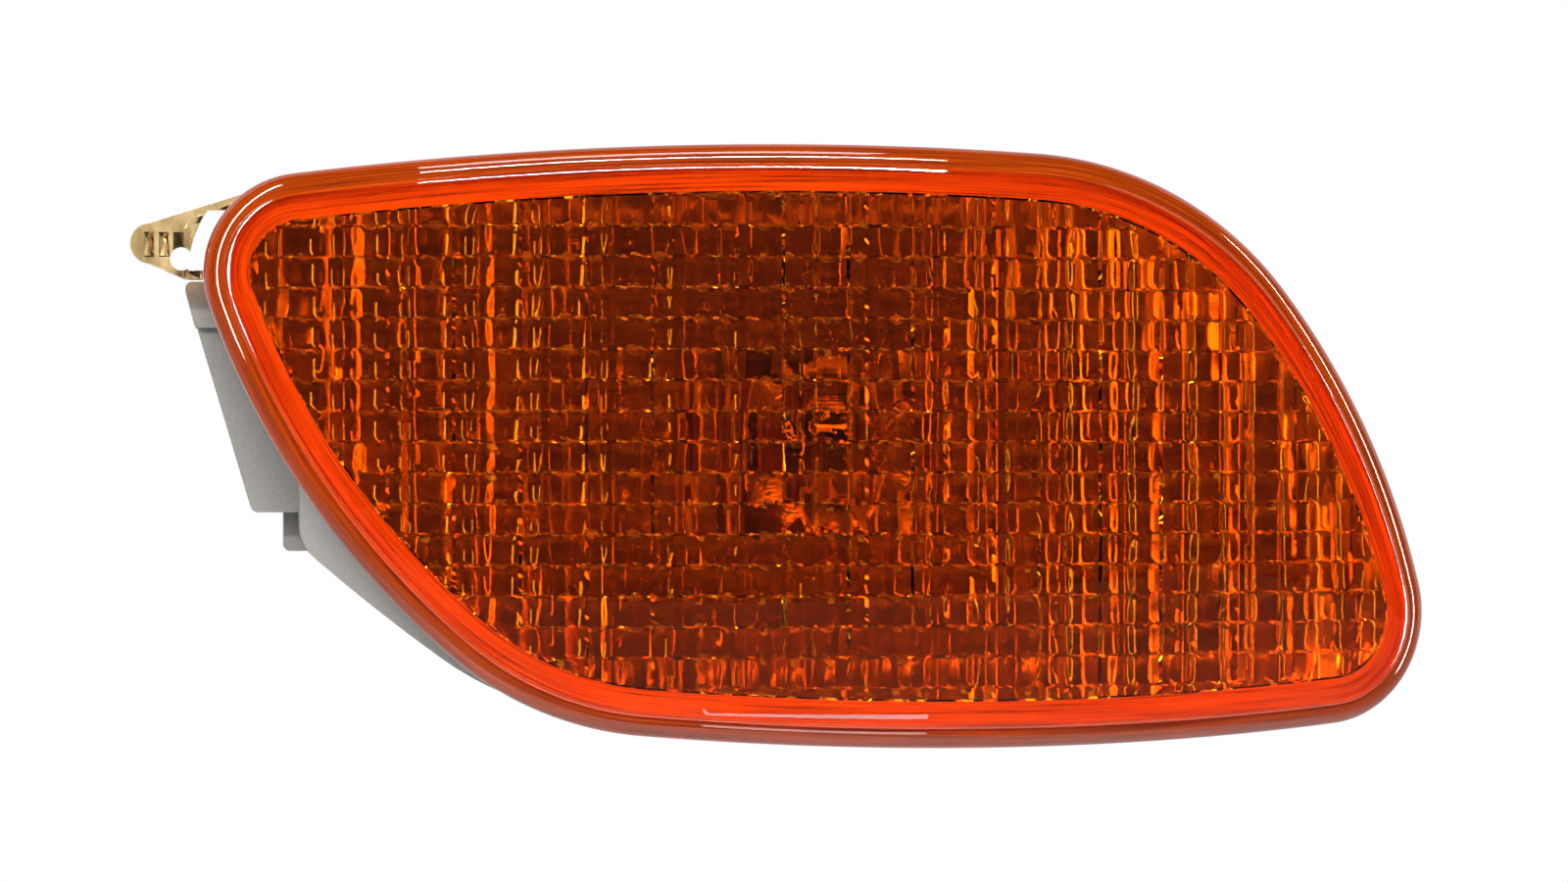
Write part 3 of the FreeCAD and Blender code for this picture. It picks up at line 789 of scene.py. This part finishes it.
@dataclass
class Filament:
    """Coiled filament in mm, stood between the tips of its leads.

    Attributes:
        radius: Radius of the coil.
        wire: Radius of the wire.
        turns: Turns of the coil.
        turn_steps: Points in each turn.
    """

    radius: float = 0.4
    wire: float = 0.08
    turns: int = 22
    turn_steps: int = 14

    def build(self) -> bpy.types.Object:
        """Makes the coil as a mesh.

        Returns:
            The filament object.
        """
        low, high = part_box("filament")
        middle = (low + high) / 2
        curve = bpy.data.curves.new("filament_coil", "CURVE")
        curve.dimensions = "3D"
        curve.bevel_depth = self.wire * MM
        curve.bevel_resolution = 2
        steps = self.turns * self.turn_steps
        spline = curve.splines.new("POLY")
        spline.points.add(steps)
        for at in range(steps + 1):
            angle = 2 * math.pi * self.turns * at / steps
            x = low.x + self.wire * MM + (high.x - low.x - 2 * self.wire * MM) * at / steps
            y = middle.y + self.radius * MM * math.cos(angle)
            z = middle.z + self.radius * MM * math.sin(angle)
            spline.points[at].co = (x, y, z, 1)
        holder = bpy.data.objects.new("filament_curve", curve)
        bpy.context.scene.collection.objects.link(holder)
        bpy.context.view_layer.update()
        mesh = bpy.data.meshes.new_from_object(holder.evaluated_get(bpy.context.evaluated_depsgraph_get()))
        bpy.data.objects.remove(holder)
        mesh.shade_smooth()
        piece = bpy.data.objects.new("filament_visual", mesh)
        bpy.context.scene.collection.objects.link(piece)
        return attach(piece, "root")


@dataclass
class Ear:
    """Clear locating ear with slight rounds at its front edges, in mm.

    Attributes:
        round_mm: Size asked of the rounds, which short edges hold back.
        steps: Faces across each round.
        front_mm: Depth of the front edges that are rounded.
        weld_mm: Distance within which the copy's points are joined.
        flat_deg: Faces that turn less than this are joined.
        sharp_deg: Edges that turn more than this stay crisp.
    """

    round_mm: float = 0.55
    steps: int = 4
    front_mm: float = 0.05
    weld_mm: float = 0.002
    flat_deg: float = 1.0
    sharp_deg: float = 32.0

    def build(self, node: bpy.types.Object) -> bpy.types.Object:
        """Makes the ear from a copy of its CAD shape.

        Args:
            node: CAD node of the ear.

        Returns:
            The ear object.
        """
        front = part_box("locating_ear")[0].y + self.front_mm * MM
        mesh = bpy.data.meshes.new("locating_ear_visual")
        work = bmesh.new()
        work.from_mesh(node.data)
        bmesh.ops.remove_doubles(work, verts=work.verts, dist=self.weld_mm * MM)
        bmesh.ops.dissolve_limit(work, angle_limit=math.radians(self.flat_deg), verts=work.verts,
                                 edges=work.edges)
        edges = [e for e in work.edges if all(v.co.y < front for v in e.verts)]
        bmesh.ops.bevel(work, geom=edges, offset=self.round_mm * MM, segments=self.steps, profile=0.5,
                        affect="EDGES", clamp_overlap=True)
        bmesh.ops.triangulate(work, faces=work.faces)
        work.to_mesh(mesh)
        work.free()
        mesh.shade_smooth()
        mesh.set_sharp_from_angle(angle=math.radians(self.sharp_deg))
        piece = bpy.data.objects.new("locating_ear_visual", mesh)
        bpy.context.scene.collection.objects.link(piece)
        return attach(piece, "root")


@dataclass(frozen=True)
class Softbox:
    """One soft studio light.

    Attributes:
        name: Name of the light.
        place: Position in metres.
        size: Width and height in metres.
        watts: Power.
        aim: Point that it faces, in metres.
        colour: Light colour as sRGB hex.
    """

    name: str
    place: Triple
    size: tuple[float, float]
    watts: float
    aim: Triple = (0.075, -0.03, 0.005)
    colour: str = "FFFFFF"

    def build(self) -> None:
        """Adds the light to the scene."""
        data = bpy.data.lights.new(self.name, "AREA")
        data.shape = "RECTANGLE"
        data.size, data.size_y = self.size
        data.energy = self.watts
        data.color = srgb(self.colour)[:3]
        light = bpy.data.objects.new(self.name, data)
        light.location = self.place
        light.rotation_euler = (Vector(self.aim) - Vector(self.place)).to_track_quat("-Z", "Y").to_euler()
        bpy.context.scene.collection.objects.link(light)


@dataclass
class Studio:
    """Pale floor, white backdrop, lights and the camera that matches the photograph.

    Attributes:
        floor_z: Height of the floor in metres.
        backdrop_y: Distance of the backdrop behind the lamp in metres.
        far: Half width of the floor and backdrop in metres.
        room: Strength of the room's own light.
        eye: Place of the camera in metres.
        turn_deg: How far the camera is turned to the right.
        focal_mm: Focal length of the lens.
        sensor_mm: Width of the sensor.
    """

    floor_z: float = -0.6
    backdrop_y: float = 1.7
    far: float = 6.0
    room: float = 0.05
    eye: Triple = (-0.01097, -0.7328, 0.00602)
    turn_deg: float = 7.0
    focal_mm: float = 110.25
    sensor_mm: float = 36.0

    def panel(self, name: str, corners: list[Triple], material: bpy.types.Material) -> None:
        """Adds one flat piece of the studio.

        Args:
            name: Name of the piece.
            corners: Its corners in metres.
            material: Its material.
        """
        mesh = bpy.data.meshes.new(name)
        mesh.from_pydata(corners, [], [tuple(range(len(corners)))])
        mesh.materials.append(material)
        piece = bpy.data.objects.new(name, mesh)
        bpy.context.scene.collection.objects.link(piece)

    def white(self) -> bpy.types.Material:
        """Makes the lit white paper of the backdrop.

        Returns:
            The material.
        """
        material = bpy.data.materials.new("lit white paper")
        material.use_nodes = True
        tree = material.node_tree
        tree.nodes.clear()
        glow = add(tree, "ShaderNodeEmission", {"Color": (1, 1, 1, 1), "Strength": 1.0})
        add(tree, "ShaderNodeOutputMaterial", {"Surface": glow.outputs["Emission"]})
        return material

    def world(self) -> None:
        """Makes the room: white to the camera, dim to everything else."""
        world = bpy.data.worlds.new("room")
        bpy.context.scene.world = world
        world.use_nodes = True
        tree = world.node_tree
        tree.nodes.clear()
        path = add(tree, "ShaderNodeLightPath")
        dim = add(tree, "ShaderNodeBackground", {"Color": (1, 1, 1, 1), "Strength": self.room})
        white = add(tree, "ShaderNodeBackground", {"Color": (1, 1, 1, 1), "Strength": 1.0})
        mix = add(tree, "ShaderNodeMixShader", {
            0: path.outputs["Is Camera Ray"], 1: dim.outputs["Background"], 2: white.outputs["Background"]})
        add(tree, "ShaderNodeOutputWorld", {"Surface": mix.outputs["Shader"]})

    def camera(self) -> None:
        """Sets the camera where the photograph was taken from."""
        data = bpy.data.cameras.new("camera")
        data.sensor_width = self.sensor_mm
        data.lens = self.focal_mm
        camera = bpy.data.objects.new("camera", data)
        camera.location = self.eye
        camera.rotation_euler = (math.radians(90), 0, math.radians(-self.turn_deg))
        bpy.context.scene.collection.objects.link(camera)
        bpy.context.scene.camera = camera

    def build(self) -> None:
        """Adds the whole studio to the scene."""
        far, y, z = self.far, self.backdrop_y, self.floor_z
        self.panel("backdrop", [(-far, y, -far), (far, y, -far), (far, y, far), (-far, y, far)], self.white())
        paper = Finish("matt white floor paper", "F4F4F3", "EFEFEE", 0.8, 0.05, Pattern.GRAIN, 2.0,
                       glow=0.8).build()
        self.panel("floor", [(-far, -far, z), (far, -far, z), (far, far, z), (-far, far, z)], paper)
        self.world()
        for light in (
            Softbox("key", (0.0, -0.5, 0.75), (0.6, 0.2), 5.0),
            Softbox("left_strip", (-0.65, -0.5, 0.3), (0.08, 0.7), 9.0),
            Softbox("right_strip", (0.95, -0.22, 0.12), (0.07, 0.7), 6.0),
            Softbox("spark_strip", (0.03, -0.845, 0.42), (0.8, 0.022), 15.0),
            Softbox("low_fill", (0.2, -0.8, -0.255), (0.3, 0.06), 0.4),
        ):
            light.build()
        self.camera()
        bpy.context.scene.view_settings.view_transform = "Standard"


@dataclass
class Lamp:
    """The lamp's pieces and which finish each one takes.

    Attributes:
        finishes: CAD node to finish.
    """

    finishes: dict[str, Finish] = field(default_factory=lambda: {
        "lens": AMBER, "lens_seal": RUBBER, "reflector": METALLISED, "housing": GREY_ABS,
        "locating_ear": CLEAR_PMMA_PAINTED_SHADE, "holder_body": BLACK_NYLON, "holder_gasket": RUBBER,
        "centre_contact": BRASS_STRIP, "earth_contact": BRASS_STRIP, "breather_cap": RUBBER,
        "bulb_glass": GLASS, "bulb_stem": GLASS, "filament_leads": WIRE, "filament": WIRE,
        "bulb_cap": CAP_BRASS, "bayonet_pins": CAP_BRASS, "cap_insulator": VITRITE, "cap_contact": SOLDER})

    def build(self, nodes: dict[str, bpy.types.Object]) -> list[str]:
        """Gives every piece its finish and adds the finer visual pieces.

        Args:
            nodes: CAD nodes by name.

        Returns:
            Names of the visual pieces that stand for CAD nodes.
        """
        made = {finish.name: finish.build() for finish in dict.fromkeys(self.finishes.values())}
        for name, node in nodes.items():
            node.data.materials.clear()
            node.data.materials.append(made[self.finishes[name].name])
        visual = {"lens": Lens().build(), "filament": Filament().build(),
                  "locating_ear": Ear().build(nodes["locating_ear"])}
        for name, piece in visual.items():
            piece.data.materials.append(made[self.finishes[name].name])
            if name == "lens":
                piece.data.materials.append(AMBER_RIM.build())
                piece.data.materials.append(AMBER_BACK.build())
            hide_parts(name)
        return [piece.name for piece in visual.values()]


def main() -> None:
    """Builds the lamp and its studio and reports the pieces."""
    logging.basicConfig(level=logging.INFO)
    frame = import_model()
    names = Lamp().build(frame["nodes"])
    Studio().build()
    bpy.context.view_layer.update()
    for name in sorted(frame["nodes"]):
        LOG.info("CAD node %s", name)
    for name in names:
        LOG.info("visual piece %s", name)


if __name__ == "__main__":
    main()
